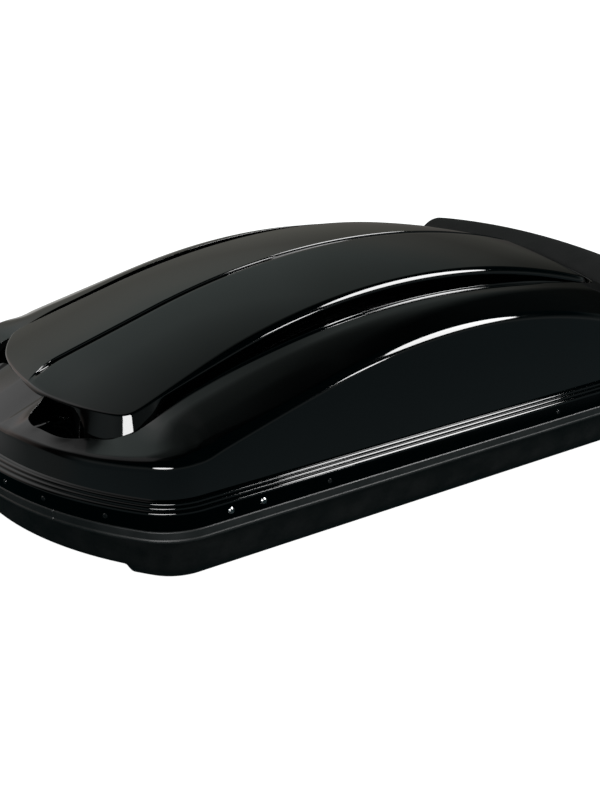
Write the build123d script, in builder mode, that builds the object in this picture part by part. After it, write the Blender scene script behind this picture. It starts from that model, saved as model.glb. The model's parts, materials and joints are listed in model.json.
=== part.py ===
"""Roof cargo box: shallow base, crowned lid on lift-and-swing hinges, side lock and gas struts.

Frame: +X from the nose to the tail, +Y from the hinge side to the lock side, +Z up.
The origin is at the middle of the base's underside. All sizes are in millimetres.
"""

from build123d import *
import math
import os

# ------------------------------------------------------------------ plan of the box
half_length = 720
half_width = 432.5
nose_bow_r = 607
nose_corner_r = 118.5
tail_bow_r = 1600
tail_corner_r = 120

# ------------------------------------------------------------------ heights
foot_top_z = 20
band_low_z = 80
lip_top_z = 84
band_top_z = 99
seam_z = 100
skirt_top_z = 128
wall_foot_z = 143

# ------------------------------------------------------------------ base
base_wall = 3
flange_z = 86
flange_inset = 3
base_wall_inset = 10
base_draft = 10
foot_inset = 26
foot_draft = 26.6
foot_half_length = 575
rail_y = 290
rail_length = 940
rail_width = 50
rail_sheet = 2
rail_lip = 8
slot_x = 330
slot_length = 220
slot_width = 9
bead_length = 820
bead_width = 26
bead_height = 5
bead_pitch = 140
bead_taper = 25
rim_lip = 1
rim_seam_y = 251
rim_seam_gap = 1.2
seal_thickness = 3
seal_height = 9

# ------------------------------------------------------------------ lid
lid_wall = 4
skirt_inset = 3
ridge_step = 5
wall_inset = 22
wall_draft = 9
crown_r = 1050
crest_x = 83
crest_z = 378.7
crest_r = 1457.5
nose_slope = 0.3113
nose_panel_x = -611
nose_deck_z = 190
wing_drop = 12
groove_drop = 34
groove_width = 24
bridge_half_width = 60
panel_half_nose = 262
panel_half_mid = 224
panel_half_tail = 247
panel_tail_x = 515
panel_nose_bow_r = 433
panel_corner_r = 30
spoiler_half_angle = 22
spoiler_screw_x = 640
spoiler_screw_ys = (-240, 0, 240)
roof_top_z = 420

# ------------------------------------------------------------------ hinges
hinge_xs = {"front": -415, "rear": 411}
lower_pivot = (-365, 105)
upper_pivot = (-412, 118)
pivot_pin_r = 3
running_gap = 0.05
link_thickness = 10
link_width = 14
ear_gap = 0.5
ear_thickness = 3
base_plate_length = 64
base_plate_rivet_x = 22
lid_plate_size = (84, 20)
corner_round = 4
screw_half_pitch = 29.5
screw_z = 113
screw_shank_r = 2.5

# ------------------------------------------------------------------ lock
lock_z = 112
lock_cylinder_r = 8
lock_boss_r = 11
lock_escutcheon_r = 13
housing_size = (44, 22)
housing_depth = 15.5
cam_r = 14.14
cam_pin_r = 2
keeper_xs = {"front": -380, "middle": 90, "rear": 380}
keeper_width = 30
keeper_y = 411.5
keeper_sheet = 3
keeper_slot_depth = 18
keeper_rivet_lift = 6
keeper_rivet_well_r = 6
peg_r = 3
peg_lead = 10
bar_y = 404
bar_thickness = 3
bar_low_z = 104
bar_high_z = 120
guide_xs = (-300, -150, 180, 300)

# ------------------------------------------------------------------ gas struts
strut_xs = {"front": -480, "rear": 480}
strut_foot = (-340, 60)
strut_head = (-110, 205)
tube_r = 9
tube_bore_r = 7.5
tube_start = 14
tube_length = 210
rod_r = 4
piston_start = 112
piston_length = 6
eye_r = 8
eye_thickness = 10
strut_ear_offset = 6
strut_neck_r = 3.8
strut_rivet_shifts = (-13, 1)
strut_foot_plate = 36
strut_head_pad = (34, 50)

crown_axis_z = crest_z - crown_r
crown_axis = Axis((0, 0, crown_axis_z), (1, 0, 0))
os.makedirs("parts", exist_ok=True)


def finish(piece, name):
    """Label a finished piece and write it to its own file."""
    piece.part.label = name
    export_step(piece.part, f"parts/{name}.step")


# ================================================================== shared shapes
def midpoint(first, second):
    """Point half way between two points of a plane."""
    return ((first[0] + second[0]) / 2, (first[1] + second[1]) / 2)


def plan_face(inset):
    """Plan of the box at its rim, pulled in by inset: bowed nose, straight sides, blunt tail."""
    nose_x = -half_length + nose_bow_r - math.sqrt(nose_bow_r**2 - half_width**2)
    tail_x = half_length - tail_bow_r + math.sqrt(tail_bow_r**2 - half_width**2)
    with BuildSketch() as plan:
        with BuildLine():
            ThreePointArc((nose_x, half_width), (-half_length, 0), (nose_x, -half_width))
            Line((nose_x, -half_width), (tail_x, -half_width))
            ThreePointArc((tail_x, -half_width), (half_length, 0), (tail_x, half_width))
            Line((tail_x, half_width), (nose_x, half_width))
        make_face()
        fillet(plan.vertices().group_by(Axis.X)[0], nose_corner_r)
        fillet(plan.vertices().group_by(Axis.X)[-1], tail_corner_r)
        if inset:
            offset(amount=-inset)
    return plan.sketch


def panel_face(grow):
    """Plan of the raised centre panel, waisted at mid length, grown by grow."""
    corner_x = nose_panel_x + panel_nose_bow_r - math.sqrt(panel_nose_bow_r**2 - panel_half_nose**2)
    with BuildSketch() as plan:
        with BuildLine():
            ThreePointArc((corner_x, panel_half_nose), (nose_panel_x, 0), (corner_x, -panel_half_nose))
            for side in (-1, 1):
                ThreePointArc(
                    (corner_x, side * panel_half_nose),
                    (0, side * panel_half_mid),
                    (panel_tail_x, side * panel_half_tail),
                )
            Line((panel_tail_x, -panel_half_tail), (panel_tail_x, panel_half_tail))
        make_face()
        fillet(plan.vertices(), panel_corner_r)
        if grow:
            offset(amount=grow)
    return plan.sketch


def crest(x):
    """Height of the roof's centre line, on the crowned panel."""
    lean = math.atan(nose_slope)
    tangent_x = crest_x - crest_r * math.sin(lean)
    if x < tangent_x:
        return crest_z - crest_r * (1 - math.cos(lean)) - (tangent_x - x) * nose_slope
    return crest_z - crest_r + math.sqrt(crest_r**2 - (x - crest_x) ** 2)


def crown_plane(angle):
    """Plane through the crown axis, leaning angle degrees from upright."""
    lean = math.radians(angle)
    return Plane(
        origin=(0, 0, crown_axis_z),
        x_dir=(1, 0, 0),
        z_dir=(0, -math.cos(lean), -math.sin(lean)),
    )


def crown(drop):
    """Solid under the crowned roof, whose surface lies drop below the centre panel's."""
    sweep_half_angle = 36
    bottom_z = -300
    past_end = half_length + 10

    def at(x, z):
        return (x, z - drop - crown_axis_z)

    with BuildPart() as body:
        with BuildSketch(crown_plane(-sweep_half_angle)):
            with BuildLine():
                Line(at(-past_end, bottom_z), at(-past_end, crest(-past_end)))
                Line(at(-past_end, crest(-past_end)), at(-350, crest(-350)))
                ThreePointArc(at(-350, crest(-350)), at(crest_x, crest_z), at(past_end, crest(past_end)))
                Line(at(past_end, crest(past_end)), at(past_end, bottom_z))
                Line(at(past_end, bottom_z), at(-past_end, bottom_z))
            make_face()
        revolve(axis=crown_axis, revolution_arc=2 * sweep_half_angle)
    return body.part


def groove_cutter(gap):
    """Groove round the centre panel, with a bridge left at the nose; gap thickens its walls."""
    floor_body = crown(groove_drop + gap)
    with BuildPart() as cutter:
        with BuildSketch(Plane.XY.offset(wall_foot_z)):
            add(panel_face(groove_width + gap))
            add(panel_face(-gap), mode=Mode.SUBTRACT)
            with Locations((nose_panel_x, 0)):
                Rectangle(120, 2 * (bridge_half_width - gap), mode=Mode.SUBTRACT)
        extrude(amount=roof_top_z - wall_foot_z)
        add(floor_body, mode=Mode.SUBTRACT)
    return cutter.part


def lid_form(gap):
    """Solid of the lid's outside, pulled in by gap on every side."""
    panel_body = crown(gap)
    wing_body = crown(wing_drop + gap)
    cutter = groove_cutter(gap)
    with BuildPart() as roof:
        add(wing_body)
        with BuildSketch():
            with Locations((-half_length / 2 - 100, 0)):
                Rectangle(half_length, 2 * half_width)
        extrude(amount=nose_deck_z - gap)
    ridge_insets = [skirt_inset + ridge_step * count for count in range(1, 4)]
    with BuildPart() as panel:
        with BuildSketch(Plane.XY.offset(wall_foot_z)):
            add(panel_face(-gap))
        extrude(amount=roof_top_z - wall_foot_z)
        add(panel_body, mode=Mode.INTERSECT)
    with BuildPart() as form:
        with BuildSketch(Plane.XY.offset(wall_foot_z - gap)):
            add(plan_face(wall_inset + gap))
        extrude(amount=roof_top_z - wall_foot_z, taper=wall_draft)
        add(roof.part, mode=Mode.INTERSECT)
        with BuildSketch(Plane.XY.offset(seam_z - gap)):
            add(plan_face(skirt_inset + gap))
        extrude(amount=skirt_top_z - seam_z)
        for count, inset in enumerate(ridge_insets):
            with BuildSketch(Plane.XY.offset(skirt_top_z + ridge_step * count - gap)):
                add(plan_face(inset + gap))
            extrude(amount=ridge_step)
        add(panel.part)
        add(cutter, mode=Mode.SUBTRACT)
    return form.part


def base_form(gap):
    """Solid of the base's outside below the flange, pulled in by gap."""
    down = Plane(origin=(0, 0, flange_z + base_wall), x_dir=(1, 0, 0), z_dir=(0, 0, -1))
    foot_down = Plane(origin=(0, 0, foot_top_z + gap), x_dir=(1, 0, 0), z_dir=(0, 0, -1))
    with BuildPart() as form:
        with BuildSketch(down):
            add(plan_face(base_wall_inset + gap))
        extrude(amount=flange_z + base_wall - foot_top_z - gap, taper=base_draft)
        with BuildSketch(foot_down):
            add(plan_face(foot_inset + gap))
            Rectangle(2 * (foot_half_length - gap), 2 * half_width, mode=Mode.INTERSECT)
        extrude(amount=foot_top_z, taper=foot_draft)
    return form.part


def rivet(plane, head_r, head_height, shank_r, shank_length):
    """Add a low-domed rivet to the part being built, its head standing on plane."""
    with BuildSketch(plane) as head:
        Circle(head_r)
    extrude(head.sketch, amount=head_height, taper=30)
    with BuildSketch(plane) as shank:
        Circle(shank_r)
    extrude(shank.sketch, amount=-shank_length)


def bore(plane, radius, depth):
    """Drill the part being built from plane against its normal."""
    with BuildSketch(plane) as mouth:
        Circle(radius)
    extrude(mouth.sketch, amount=-depth, mode=Mode.SUBTRACT)


# ================================================================== fastener places
side_screw_planes = [
    Plane(origin=(x + side, -half_width + skirt_inset, screw_z), x_dir=(1, 0, 0), z_dir=(0, -1, 0))
    for x in hinge_xs.values()
    for side in (-screw_half_pitch, screw_half_pitch)
]

side_rivet_planes = [
    Plane(origin=(x, side * (half_width - skirt_inset), screw_z), x_dir=(1, 0, 0), z_dir=(0, side, 0))
    for x in (-259, 259)
    for side in (-1, 1)
]

nose_rivet_planes = []
for y in (-339, -232, -141, 141, 232, 339):
    lean = math.asin(y / nose_bow_r)
    skirt_r = nose_bow_r - skirt_inset
    outward = (-math.cos(lean), math.sin(lean), 0)
    origin = (-half_length + nose_bow_r + skirt_r * outward[0], skirt_r * outward[1], screw_z)
    nose_rivet_planes.append(Plane(origin=origin, x_dir=(0, 0, 1), z_dir=outward))

rail_rivet_places = [
    (x, side * rail_y) for x in (-455, 0, 455) for side in (-1, 1)
]
strut_rivet_places = [
    (x + shift, strut_foot[0]) for x in strut_xs.values() for shift in strut_rivet_shifts
]
wall_lean = math.radians(base_draft)
wall_plate_z = 70
wall_rivet_rise = flange_z + base_wall - wall_plate_z
wall_rivet_y = half_width - base_wall_inset - base_wall - wall_rivet_rise * math.tan(wall_lean)


def wall_plane(x, side, lift):
    """Plane on the base's inner wall at x, facing inwards, raised by lift."""
    inward = (0, -side * math.cos(wall_lean), math.sin(wall_lean))
    foot = (x, side * wall_rivet_y, wall_plate_z)
    return Plane(origin=foot, x_dir=(1, 0, 0), z_dir=inward).offset(lift)


hinge_wall_places = [
    (x + shift, -1) for x in hinge_xs.values() for shift in (-base_plate_rivet_x, base_plate_rivet_x)
]
keeper_wall_places = [(x, 1) for x in keeper_xs.values()]

# ================================================================== base
base_outside = base_form(0)
base_inside = base_form(base_wall)

with BuildPart() as base_tray:
    add(base_outside)
    with BuildSketch(Plane.XY.offset(flange_z)):
        add(plan_face(flange_inset))
    extrude(amount=base_wall)
    add(base_inside, mode=Mode.SUBTRACT)
    with BuildSketch(Plane.XY.offset(base_wall)):
        with GridLocations(0, bead_pitch, 1, 3):
            SlotOverall(bead_length, bead_width)
    extrude(amount=bead_height, taper=bead_taper)
    with BuildSketch(Plane.XY):
        with GridLocations(0, bead_pitch, 1, 3):
            SlotOverall(bead_length - 2 * base_wall, bead_width - 2 * base_wall)
    extrude(amount=bead_height, taper=bead_taper, mode=Mode.SUBTRACT)
    with BuildSketch(Plane.XY):
        with GridLocations(2 * slot_x, 2 * rail_y, 2, 2):
            SlotOverall(slot_length, slot_width)
        with Locations(rail_rivet_places + strut_rivet_places):
            Circle(screw_shank_r)
    extrude(amount=foot_top_z, mode=Mode.SUBTRACT)
    for x, side in hinge_wall_places + keeper_wall_places:
        bore(wall_plane(x, side, 0), screw_shank_r, base_wall / 2)
finish(base_tray, "base_tray")

with BuildPart() as rim_profile:
    with BuildSketch(Plane.XY.offset(band_low_z)):
        add(plan_face(0))
    extrude(amount=lip_top_z - band_low_z)
    with BuildSketch(Plane.XY.offset(lip_top_z)):
        add(plan_face(rim_lip))
    extrude(amount=band_top_z - lip_top_z)
    with BuildSketch(Plane.XY.offset(band_low_z)):
        add(plan_face(base_wall_inset))
    extrude(amount=band_top_z - band_low_z, mode=Mode.SUBTRACT)
    with BuildSketch(Plane.XY.offset(flange_z)):
        add(plan_face(flange_inset))
    extrude(amount=base_wall, mode=Mode.SUBTRACT)
    for side in (-1, 1):
        seam_lean = math.asin(rim_seam_y / nose_bow_r)
        seam_x = -half_length + nose_bow_r * (1 - math.cos(seam_lean))
        seam = Plane(
            origin=(seam_x, side * rim_seam_y, band_low_z),
            x_dir=(math.sin(seam_lean), side * math.cos(seam_lean), 0),
        )
        with BuildSketch(seam):
            Rectangle(rim_seam_gap, 4 * rim_lip)
        extrude(amount=band_top_z - band_low_z, mode=Mode.SUBTRACT)
finish(rim_profile, "rim_profile")

with BuildPart() as rim_seal:
    with BuildSketch(Plane.XY.offset(flange_z + base_wall)):
        add(plan_face(base_wall_inset))
        add(plan_face(base_wall_inset + seal_thickness), mode=Mode.SUBTRACT)
    extrude(amount=seal_height)
finish(rim_seal, "rim_seal")

for name, side in (("left", -1), ("right", 1)):
    with BuildPart() as floor_rail:
        with BuildSketch(Plane.XY.offset(base_wall)):
            with Locations((0, side * rail_y)):
                Rectangle(rail_length, rail_width)
        extrude(amount=rail_sheet)
        with BuildSketch(Plane.XY.offset(base_wall)):
            with Locations((0, side * rail_y)):
                with GridLocations(0, rail_width - rail_sheet, 1, 2):
                    Rectangle(rail_length, rail_sheet)
        extrude(amount=rail_lip)
        with BuildSketch(Plane.XY):
            with Locations((0, side * rail_y)):
                with GridLocations(2 * slot_x, 0, 2, 1):
                    SlotOverall(slot_length, slot_width)
            with Locations(rail_rivet_places):
                Circle(screw_shank_r)
        extrude(amount=foot_top_z, mode=Mode.SUBTRACT)
    finish(floor_rail, f"floor_rail_{name}")

with BuildPart() as floor_rail_rivets:
    for x, y in rail_rivet_places:
        rivet(Plane.XY.offset(base_wall + rail_sheet).move(Location((x, y, 0))), 5, 2, screw_shank_r, 4.5)
finish(floor_rail_rivets, "floor_rail_rivets")

# ================================================================== hinges
ear_centre = link_thickness / 2 + ear_gap + ear_thickness / 2
pin_half_length = link_thickness / 2 + ear_gap + ear_thickness
plate_top_y = half_width - base_wall_inset - base_wall - 3 * math.tan(wall_lean)
plate_low_z = 52
plate_low_y = plate_top_y - (flange_z - plate_low_z) * math.tan(wall_lean)
plate_sheet = 3

for name, x in hinge_xs.items():
    with BuildPart() as hinge_base_bracket:
        with BuildSketch(Plane.YZ.offset(x)):
            with BuildLine():
                Polyline(
                    (-plate_top_y, flange_z),
                    (-plate_low_y, plate_low_z),
                    (-plate_low_y + plate_sheet, plate_low_z),
                    (-plate_top_y + plate_sheet, flange_z),
                    close=True,
                )
            make_face()
        extrude(amount=base_plate_length / 2, both=True)
        for side in (-1, 1):
            with BuildSketch(Plane.YZ.offset(x + side * ear_centre)):
                with BuildLine():
                    Polyline(
                        (-plate_top_y, flange_z),
                        (-plate_low_y, plate_low_z),
                        (lower_pivot[0] + 4, lower_pivot[1] - 6),
                        (lower_pivot[0] - 3, lower_pivot[1] + 6.3),
                        close=True,
                    )
                make_face()
                with Locations(lower_pivot):
                    Circle(link_width / 2)
                    Circle(pivot_pin_r, mode=Mode.SUBTRACT)
            extrude(amount=ear_thickness / 2, both=True)
        for shift in (-base_plate_rivet_x, base_plate_rivet_x):
            bore(wall_plane(x + shift, -1, plate_sheet + 1), screw_shank_r, plate_sheet + 2)
    finish(hinge_base_bracket, f"hinge_base_bracket_{name}")

    with BuildPart() as hinge_link:
        with BuildSketch(Plane.YZ.offset(x)):
            SlotCenterPoint(midpoint(lower_pivot, upper_pivot), upper_pivot, link_width)
            with Locations(lower_pivot, upper_pivot):
                Circle(pivot_pin_r + running_gap, mode=Mode.SUBTRACT)
        extrude(amount=link_thickness / 2, both=True)
    finish(hinge_link, f"hinge_link_{name}")

    with BuildPart() as hinge_lid_bracket:
        with BuildSketch(Plane.XZ.offset(half_width - skirt_inset - lid_wall)):
            with Locations((x, screw_z)):
                RectangleRounded(*lid_plate_size, corner_round)
                with GridLocations(2 * screw_half_pitch, 0, 2, 1):
                    Circle(screw_shank_r, mode=Mode.SUBTRACT)
        extrude(amount=-plate_sheet)
        for side in (-1, 1):
            with BuildSketch(Plane.YZ.offset(x + side * ear_centre)):
                with BuildLine():
                    Polyline(
                        (-half_width + skirt_inset + lid_wall, screw_z - 8),
                        (upper_pivot[0], upper_pivot[1] - link_width / 2),
                        (upper_pivot[0], upper_pivot[1] + link_width / 2),
                        (-half_width + skirt_inset + lid_wall, screw_z + 10),
                        close=True,
                    )
                make_face()
                with Locations(upper_pivot):
                    Circle(link_width / 2)
                    Circle(pivot_pin_r, mode=Mode.SUBTRACT)
            extrude(amount=ear_thickness / 2, both=True)
    finish(hinge_lid_bracket, f"hinge_lid_bracket_{name}")

for name, pivot in (("lower", lower_pivot), ("upper", upper_pivot)):
    with BuildPart() as hinge_pins:
        for x in hinge_xs.values():
            with BuildSketch(Plane.YZ.offset(x)):
                with Locations(pivot):
                    Circle(pivot_pin_r)
            extrude(amount=pin_half_length, both=True)
    finish(hinge_pins, f"hinge_pins_{name}")

with BuildPart() as wall_rivets:
    for x, side in hinge_wall_places:
        rivet(wall_plane(x, side, plate_sheet), 5, 1.8, screw_shank_r, plate_sheet + 1)
    for x, side in keeper_wall_places:
        rivet(wall_plane(x, side, keeper_rivet_lift), 5, 1.8, screw_shank_r, keeper_rivet_lift + 1)
finish(wall_rivets, "wall_rivets")

# ================================================================== latch keepers
keeper_top_z = lock_z + peg_r + 0.5 + 4

for name, x in keeper_xs.items():
    with BuildPart() as latch_keeper:
        with BuildSketch(Plane.YZ.offset(x)):
            with BuildLine():
                Polyline(
                    (keeper_y, keeper_top_z),
                    (keeper_y + keeper_sheet, keeper_top_z),
                    (keeper_y + keeper_sheet, flange_z + 2),
                    (plate_top_y, flange_z),
                    (plate_low_y, plate_low_z),
                    (plate_low_y - 4, plate_low_z),
                    (keeper_y, 88),
                    close=True,
                )
            make_face()
        extrude(amount=keeper_width / 2, both=True)
        with BuildSketch(Plane.XZ.offset(-keeper_y - 20)):
            with Locations((x - keeper_width / 2, lock_z)):
                SlotOverall(2 * keeper_slot_depth, 2 * peg_r + 1)
        extrude(amount=40, mode=Mode.SUBTRACT)
        bore(wall_plane(x, 1, 20), screw_shank_r, 21)
        bore(wall_plane(x, 1, 20), keeper_rivet_well_r, 20 - keeper_rivet_lift)
    finish(latch_keeper, f"latch_keeper_{name}")

# ================================================================== lid
lid_outside = lid_form(0)
lid_inside = lid_form(lid_wall)
lock_plane = Plane(origin=(0, half_width - skirt_inset, lock_z), x_dir=(1, 0, 0), z_dir=(0, 1, 0))

with BuildPart() as lid_shell:
    add(lid_outside)
    add(lid_inside, mode=Mode.SUBTRACT)
    for plane in side_screw_planes + side_rivet_planes + nose_rivet_planes:
        bore(plane.offset(1), screw_shank_r, lid_wall + 2)
    bore(lock_plane.offset(1), lock_boss_r, lid_wall + 2)
finish(lid_shell, "lid_shell")

spoiler_outline = [(556, 250), (574, 277), (600, 294), (660, 303), (674, 299), (700, 244), (700, 232)]
spoiler_hollow = [(566, 250), (580, 273), (602, 289), (659, 298), (670, 294), (694, 241), (694, 230)]


def spoiler_sweep(outline, half_angle):
    """Solid swept across the tail along the roof's crown from an outline of x and z points."""
    with BuildPart() as sweep_body:
        with BuildSketch(crown_plane(-half_angle)):
            with BuildLine():
                Polyline([(x, z - crown_axis_z) for x, z in outline], close=True)
            make_face()
        revolve(axis=crown_axis, revolution_arc=2 * half_angle)
    return sweep_body.part


spoiler_outside = spoiler_sweep(spoiler_outline, spoiler_half_angle)
spoiler_inside = spoiler_sweep(spoiler_hollow, spoiler_half_angle - 0.25)

with BuildPart() as rear_spoiler:
    add(spoiler_outside)
    add(spoiler_inside, mode=Mode.SUBTRACT)
    add(lid_outside, mode=Mode.SUBTRACT)
finish(rear_spoiler, "rear_spoiler")

with BuildPart() as side_screws:
    for plane in side_screw_planes:
        with BuildSketch(plane):
            Circle(5.5)
        extrude(amount=2.6, taper=35)
        with BuildSketch(plane):
            Circle(screw_shank_r)
        extrude(amount=-(lid_wall + plate_sheet + 4))
        with BuildSketch(plane.offset(-lid_wall - plate_sheet)):
            RegularPolygon(5, 6)
        extrude(amount=-3.2)
finish(side_screws, "side_screws")

with BuildPart() as skirt_rivets:
    for plane in side_rivet_planes + nose_rivet_planes:
        rivet(plane, 4.2, 1.5, screw_shank_r, lid_wall + rail_sheet)
finish(skirt_rivets, "skirt_rivets")

# ================================================================== lid rails and lock
ledge_z = skirt_top_z - lid_wall
inner_skirt_y = half_width - skirt_inset - lid_wall
leg_height = 20
ledge_width = 13


def lid_rail(x_from, x_to, side):
    """Angle along the inside of the lid's skirt, from x_from to x_to, on one side."""
    middle = (x_from + x_to) / 2
    with BuildSketch(Plane.XY.offset(ledge_z - rail_sheet)) as ledge:
        with Locations((middle, side * (inner_skirt_y - ledge_width / 2))):
            Rectangle(x_to - x_from, ledge_width)
    extrude(ledge.sketch, amount=rail_sheet)
    with BuildSketch(Plane.XY.offset(ledge_z - leg_height)) as leg:
        with Locations((middle, side * (inner_skirt_y - rail_sheet / 2))):
            Rectangle(x_to - x_from, rail_sheet)
    extrude(leg.sketch, amount=leg_height)


with BuildPart() as lid_rail_left:
    lid_rail(-350, 350, -1)
    for plane in side_rivet_planes:
        bore(plane, screw_shank_r, lid_wall + 4)
finish(lid_rail_left, "lid_rail_left")

with BuildPart() as lid_rail_right:
    lid_rail(-450, 450, 1)
    with BuildSketch(Plane.XZ):
        with Locations((0, lock_z)):
            Rectangle(50, 23.5)
    extrude(amount=-half_width, mode=Mode.SUBTRACT)
    for plane in side_rivet_planes:
        bore(plane, screw_shank_r, lid_wall + 4)
finish(lid_rail_right, "lid_rail_right")

with BuildPart() as lock_bar_guides:
    guide_low_y = bar_y - 3
    guide_high_y = inner_skirt_y - rail_sheet
    for x in guide_xs:
        with BuildSketch(Plane.YZ.offset(x)):
            with Locations(((guide_low_y + guide_high_y) / 2, lock_z)):
                Rectangle(guide_high_y - guide_low_y, 19)
            with Locations((bar_y + bar_thickness / 2, lock_z)):
                Rectangle(bar_thickness + 0.6, bar_high_z - bar_low_z + 0.6, mode=Mode.SUBTRACT)
        extrude(amount=6, both=True)
finish(lock_bar_guides, "lock_bar_guides")

with BuildPart() as lock_housing:
    with BuildSketch(lock_plane.offset(-lid_wall)):
        RectangleRounded(*housing_size, corner_round)
    extrude(amount=-housing_depth)
    with BuildSketch(lock_plane.offset(-lid_wall)):
        Circle(lock_boss_r)
    extrude(amount=lid_wall)
    with BuildSketch(lock_plane):
        Circle(lock_escutcheon_r)
    extrude(amount=2, taper=20)
    bore(lock_plane.offset(3), lock_cylinder_r + running_gap, 30)
finish(lock_housing, "lock_housing")

cam_pin = (-cam_r * math.sin(math.radians(45)), lock_z + cam_r * math.cos(math.radians(45)))
cam_outer_y = 409.4
cam_sheet = 2

with BuildPart() as lock_cylinder:
    with BuildSketch(Plane.XZ.offset(-cam_outer_y)):
        with Locations((0, lock_z)):
            Circle(lock_cylinder_r)
    extrude(amount=-(half_width - 1 - cam_outer_y))
    with BuildSketch(Plane.XZ.offset(-half_width + 1)):
        with Locations((0, lock_z)):
            SlotOverall(10, 2, rotation=90)
    extrude(amount=8, mode=Mode.SUBTRACT)
    with BuildSketch(Plane.XZ.offset(-cam_outer_y)):
        SlotCenterPoint(midpoint((0, lock_z), cam_pin), cam_pin, 10)
    extrude(amount=cam_sheet)
    with BuildSketch(Plane.XZ.offset(-cam_outer_y + cam_sheet)):
        with Locations(cam_pin):
            Circle(cam_pin_r)
    extrude(amount=4)
finish(lock_cylinder, "lock_cylinder")

peg_xs = [x - keeper_width / 2 - peg_lead for x in keeper_xs.values()]

with BuildPart() as lock_bar:
    with BuildSketch(Plane.XZ.offset(-bar_y)):
        with Locations(((peg_xs[0] + peg_xs[-1]) / 2, lock_z)):
            RectangleRounded(peg_xs[-1] - peg_xs[0] + 36, bar_high_z - bar_low_z, corner_round)
        with Locations((cam_pin[0], lock_z + 6)):
            RectangleRounded(24, 28, corner_round)
        with Locations((cam_pin[0], lock_z + 12)):
            SlotOverall(14, 2 * cam_pin_r + 1, rotation=90, mode=Mode.SUBTRACT)
    extrude(amount=-bar_thickness)
finish(lock_bar, "lock_bar")

with BuildPart() as lock_bar_pegs:
    for x in peg_xs:
        with BuildSketch(Plane.XZ.offset(-bar_y - bar_thickness)):
            with Locations((x, lock_z)):
                Circle(peg_r)
        extrude(amount=-10)
finish(lock_bar_pegs, "lock_bar_pegs")

# ================================================================== gas struts
strut_rise = (strut_head[0] - strut_foot[0], strut_head[1] - strut_foot[1])
strut_length = math.hypot(*strut_rise)

for name, x in strut_xs.items():
    along = Plane(
        origin=(x, *strut_foot),
        x_dir=(1, 0, 0),
        z_dir=(0, strut_rise[0], strut_rise[1]),
    )
    ear_x = x + strut_ear_offset
    roof_z = crest(x)

    with BuildPart() as strut_base_bracket:
        with BuildSketch(Plane.XY.offset(base_wall)):
            with Locations((x - 3, strut_foot[0])):
                RectangleRounded(strut_foot_plate, strut_foot_plate, corner_round)
            with Locations(strut_rivet_places):
                Circle(screw_shank_r, mode=Mode.SUBTRACT)
        extrude(amount=2)
        with BuildSketch(Plane.YZ.offset(ear_x)):
            with BuildLine():
                Polyline(
                    (strut_foot[0] - 16, base_wall),
                    (strut_foot[0] + 16, base_wall),
                    (strut_foot[0] + eye_r, strut_foot[1]),
                    (strut_foot[0] - eye_r, strut_foot[1]),
                    close=True,
                )
            make_face()
            with Locations(strut_foot):
                Circle(eye_r)
        extrude(amount=ear_thickness)
        with BuildSketch(Plane.YZ.offset(ear_x)):
            with Locations(strut_foot):
                Circle(pivot_pin_r)
        extrude(amount=-(strut_ear_offset + eye_thickness / 2 + 0.5))
    finish(strut_base_bracket, f"strut_base_bracket_{name}")

    with BuildPart() as strut_tube:
        with BuildSketch(along.offset(tube_start)):
            Circle(tube_r)
        extrude(amount=tube_length)
        with BuildSketch(along.offset(tube_start + 4)):
            Circle(tube_bore_r)
        extrude(amount=tube_length - 8, mode=Mode.SUBTRACT)
        with BuildSketch(along.offset(tube_start + tube_length)):
            Circle(rod_r + running_gap)
        extrude(amount=-6, mode=Mode.SUBTRACT)
        with BuildSketch(along.offset(5)):
            Circle(strut_neck_r)
        extrude(amount=tube_start - 4)
        with BuildSketch(Plane.YZ.offset(x)):
            with Locations(strut_foot):
                Circle(eye_r)
        extrude(amount=eye_thickness / 2, both=True)
        with BuildSketch(Plane.YZ.offset(x)):
            with Locations(strut_foot):
                Circle(pivot_pin_r + running_gap)
        extrude(amount=eye_thickness, both=True, mode=Mode.SUBTRACT)
    finish(strut_tube, f"strut_tube_{name}")

    with BuildPart() as strut_rod:
        with BuildSketch(along.offset(piston_start)):
            Circle(tube_bore_r - running_gap)
        extrude(amount=piston_length)
        with BuildSketch(along.offset(piston_start)):
            Circle(rod_r)
        extrude(amount=strut_length - piston_start - 4)
        with BuildSketch(Plane.YZ.offset(x)):
            with Locations(strut_head):
                Circle(eye_r - 1)
        extrude(amount=eye_thickness / 2, both=True)
        with BuildSketch(Plane.YZ.offset(x)):
            with Locations(strut_head):
                Circle(pivot_pin_r)
        extrude(amount=strut_ear_offset - 0.4)
    finish(strut_rod, f"strut_rod_{name}")

    with BuildPart() as strut_lid_bracket:
        with BuildSketch(Plane.YZ.offset(ear_x)):
            with BuildLine():
                Polyline(
                    (strut_head[0] - eye_r, strut_head[1]),
                    (strut_head[0] + eye_r, strut_head[1]),
                    (strut_head[0] + 18, roof_z),
                    (strut_head[0] - 18, roof_z),
                    close=True,
                )
            make_face()
            with Locations(strut_head):
                Circle(eye_r)
        extrude(amount=ear_thickness)
        with BuildSketch(Plane.XY.offset(roof_z - 26)):
            with Locations((x, strut_head[0])):
                RectangleRounded(*strut_head_pad, corner_round)
        extrude(amount=40)
        add(lid_inside, mode=Mode.INTERSECT)
    finish(strut_lid_bracket, f"strut_lid_bracket_{name}")

with BuildPart() as strut_bracket_rivets:
    for x, y in strut_rivet_places:
        rivet(Plane.XY.offset(base_wall + 2).move(Location((x, y, 0))), 4.5, 1.8, screw_shank_r, 4.5)
finish(strut_bracket_rivets, "strut_bracket_rivets")

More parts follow.
